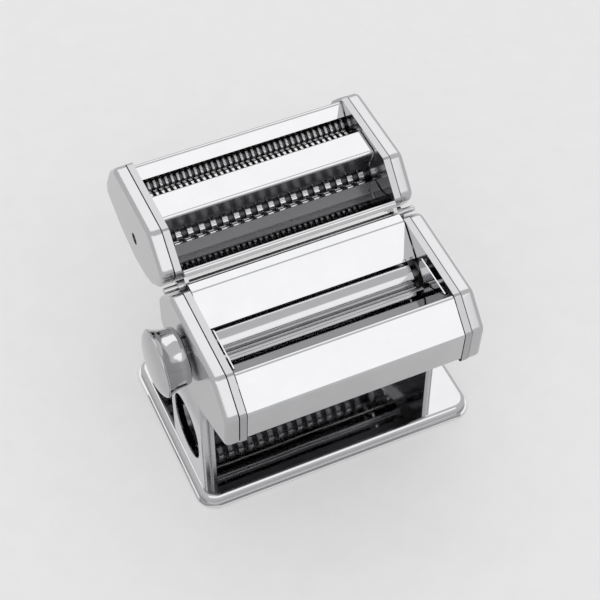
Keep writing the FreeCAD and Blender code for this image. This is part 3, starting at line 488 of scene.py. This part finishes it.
# ------------------------------------------------------------ polished sheets
# The working faces are 0.8 mm stainless sheet, bent on a press brake and polished to a
# mirror. The front one carries the dough to the rollers; its face is left plain.
SHEET = 0.8
HALF = 72
# A darker, duller finish for the wall under the middle bar: a painted dark reflection of the rollers below
# it, not a finish the sheet has.
SHADED = finish_of("painted_dark_reflection", (0.30, 0.30, 0.31), 1.0, (0.22, 0.34),
                   grain=((500, 60, 500), 0.3))
for name, node, body, radius, corners in (
        ("front_sheet", "front_panel", "frame", 2.6,
         [(-75, 89), (-81, 90.5), (-83, 116), (-64.5, 134), (-40.3, 118)]),
        ("rear_sheet", "rear_panel", "frame", 2.2,
         [(-15.5, 118), (2.5, 135), (11.2, 135), (11.2, 90)]),
        ("hood_sheet", "cutter_back_panel", "cutter_unit", 2.2,
         [(91, 148.5), (98, 156.4), (109.2, 144.9), (118.5, 128), (120.4, 118.4)]),
        ("middle_sheet", "cutter_middle_bar", "cutter_unit", 1.4,
         [(54.5, 136), (48, 154), (49.4, 155.5), (69, 155.5), (69.5, 152.5)]),
        ("chute_sheet", "cutter_front_panel", "cutter_unit", 3.0,
         [(12.7, 138), (14.9, 141.5), (28.5, 134), (35.6, 131.9), (44.5, 132.7)])):
    bent = folded(name, corners, radius, SHEET, [-HALF, HALF])
    settle(bent, "polished_sheet", body, node, edge=0.2)
    if name == "middle_sheet":
        # The faces of the wall under the middle bar take the darker finish: painted dark reflection.
        bent.data.materials.append(SHADED)
        middle = np.empty(len(bent.data.polygons) * 3)
        bent.data.polygons.foreach_get("center", middle)
        middle = middle.reshape(-1, 3) / MM
        wall = (middle[:, 1] < 55) & (middle[:, 2] < 153)
        bent.data.polygons.foreach_set("material_index", wall.astype(np.int32))


# ------------------------------------------------------------ smooth rollers
# Two ground and polished steel rollers turn towards each other; each has a turned neck at
# either end. Their wheels mesh behind the right cover.
def turned(name, axis, profile, steps=128):
    """A surface of revolution about a line along X: each (x, radius) becomes a ring."""
    angle = np.linspace(0, 2 * math.pi, steps, endpoint=False)
    rows = []
    for x, radius in profile:
        rows.append(np.column_stack([np.full(steps, x), axis[0] + radius * np.cos(angle),
                                     axis[1] + radius * np.sin(angle)]))
    return skin(name, rows, caps=(0, len(rows) - 1))


FRONT, REAR = (-40.5, 103.5), (-16, 103.5)
for name, body, axis, left_end, right_end in (
        ("front_roller", "front_roller_set", FRONT, -76.8, 84.2),
        ("rear_roller", "rear_roller_set", REAR, -75.7, 82.4)):
    section = [(left_end, 5.6), (left_end + 0.4, 6), (-67, 6), (-67, 11.6), (-66.6, 12),
               (66.6, 12), (67, 11.6), (67, 6), (77.4, 6), (77.4, 5), (right_end - 0.4, 5),
               (right_end, 4.6)]
    if right_end > 84:
        section += [(right_end, 3.6), (right_end - 12, 3.6)]
    settle(turned(name + "_steel", axis, section), "roller_steel", body, name)


# ------------------------------------------------------------ cutting rollers
# Each cutting roller is turned from one bar into rings with square grooves between. Fine
# flutes are milled along the rings so that they grip the sheet.
FLUTES = 22


def cutting_roller(name, body, node, axis, pitch, count, land, driven):
    """Rings about a line along X. Round each ring the radius drops by a flute's depth where
    the flute is, so the same flutes run through all rings of a roller."""
    steps = FLUTES * 6
    angle = np.linspace(0, 2 * math.pi, steps, endpoint=False)
    flute = np.where(np.arange(steps) % 6 < 2, 0.55, 0.0)
    floor = 6.7
    first = -(count - 1) * pitch / 2
    profile = [(-81.4, 4.2, 0), (-77.4, 4.2, 0), (-77.4, 5, 0), (-72, 5, 0), (-72, floor, 0)]
    for k in range(count):
        x = first + k * pitch
        profile += [(x - land / 2, floor, 0), (x - land / 2, 8.85, 1),
                    (x - land / 2 + 0.15, 9.0, 1), (x + land / 2 - 0.15, 9.0, 1),
                    (x + land / 2, 8.85, 1), (x + land / 2, floor, 0)]
    end = 84.2 if driven else 76.8
    profile += [(72, floor, 0), (72, 5, 0), (end - 0.3, 5, 0), (end, 4.7, 0)]
    if driven:
        profile += [(end, 3.6, 0), (end - 12, 3.6, 0)]
    profile = np.array(profile)
    radius = profile[:, 1:2] - profile[:, 2:3] * flute[None, :]
    rows = np.stack([np.broadcast_to(profile[:, :1], radius.shape),
                     axis[0] + radius * np.cos(angle), axis[1] + radius * np.sin(angle)], -1)
    piece = skin(name, rows, caps=(0, len(rows) - 1))
    settle(piece, "roller_steel", body, node)
    # The groove floors and walls between the rings take a near-black second finish: painted shade in the
    # grooves.
    piece.data.materials.append(GROOVE_SHADE)
    reach = np.empty(len(piece.data.polygons) * 3)
    piece.data.polygons.foreach_get("center", reach)
    reach = reach.reshape(-1, 3) / MM
    deep = np.hypot(reach[:, 1] - axis[0], reach[:, 2] - axis[1]) < 8.0
    inside = deep & (np.abs(reach[:, 0]) < 72.1)
    piece.data.polygons.foreach_set("material_index", inside.astype(np.int32))


# A near-black finish painted into the grooves between the rings as their shade, not oil.
GROOVE_SHADE = finish_of("painted_groove_shade", (0.07, 0.07, 0.075), 1.0, (0.25, 0.45))
for name, y, z, pitch, count, land, driven in (
        ("fine_front", 79.2, 136, 4, 35, 1.8, True), ("fine_rear", 95.4, 136, 4, 36, 1.8, False),
        ("wide_front", 45.9, 121.5, 8, 17, 3.7, True),
        ("wide_rear", 62.1, 121.5, 8, 18, 3.7, False)):
    cutting_roller(name + "_rings", name + "_set", name + "_cutter", (y, z), pitch, count, land,
                   driven)


# ------------------------------------------------------------ thickness knob
# A hollow turned grip with a flared rim and a low domed cap, both chromed. It is pulled out
# against a spring and turned to set the gap between the smooth rollers.
def flow(points, steps):
    """A smooth curve through all the points (Catmull and Rom's spline), evenly stepped."""
    points = np.asarray(points, float)
    ends = np.vstack([2 * points[0] - points[1], points, 2 * points[-1] - points[-2]])
    t = np.linspace(0, 1, steps, endpoint=False)[:, None]
    runs = []
    for a, b, c, d in zip(ends, ends[1:], ends[2:], ends[3:]):
        runs.append(0.5 * (2 * b + (c - a) * t + (2 * a - 5 * b + 4 * c - d) * t ** 2
                           + (3 * b - a - 3 * c + d) * t ** 3))
    return np.vstack(runs + [points[-1:]])


GRIP = flow([(-87.4, 16.4), (-88.3, 18.2), (-90.5, 19.0), (-95, 19.3), (-99, 20.1),
             (-102.3, 21.6), (-103.7, 22.25)], 6)
grip = [(-93, 4.06), (-87.4, 4.06)] + GRIP.tolist() + [(-104, 22.0), (-104, 8), (-93, 8)]
angle = np.linspace(0, 2 * math.pi, 160, endpoint=False)
rows = [np.column_stack([np.full(160, x), REAR[0] + r * np.cos(angle),
                         REAR[1] + r * np.sin(angle)]) for x, r in grip]
settle(skin("knob_grip", rows, joined=True), "chromed_knob", "knob", "thickness_knob")
CROWN = flow([(-104.1, 21.9), (-104.7, 22.0), (-105.3, 21.3), (-106.6, 19.6), (-108.2, 15.5),
              (-109.1, 9.5), (-109.5, 3.0), (-109.5, 0.02)], 5)
CROWN[:, 0] = np.maximum(CROWN[:, 0], -109.5)
cap = [(-104.02, 0.02), (-104.02, 21.5)] + CROWN.tolist()
settle(turned("knob_crown", REAR, cap, 160), "chromed_knob", "knob", "knob_cap")
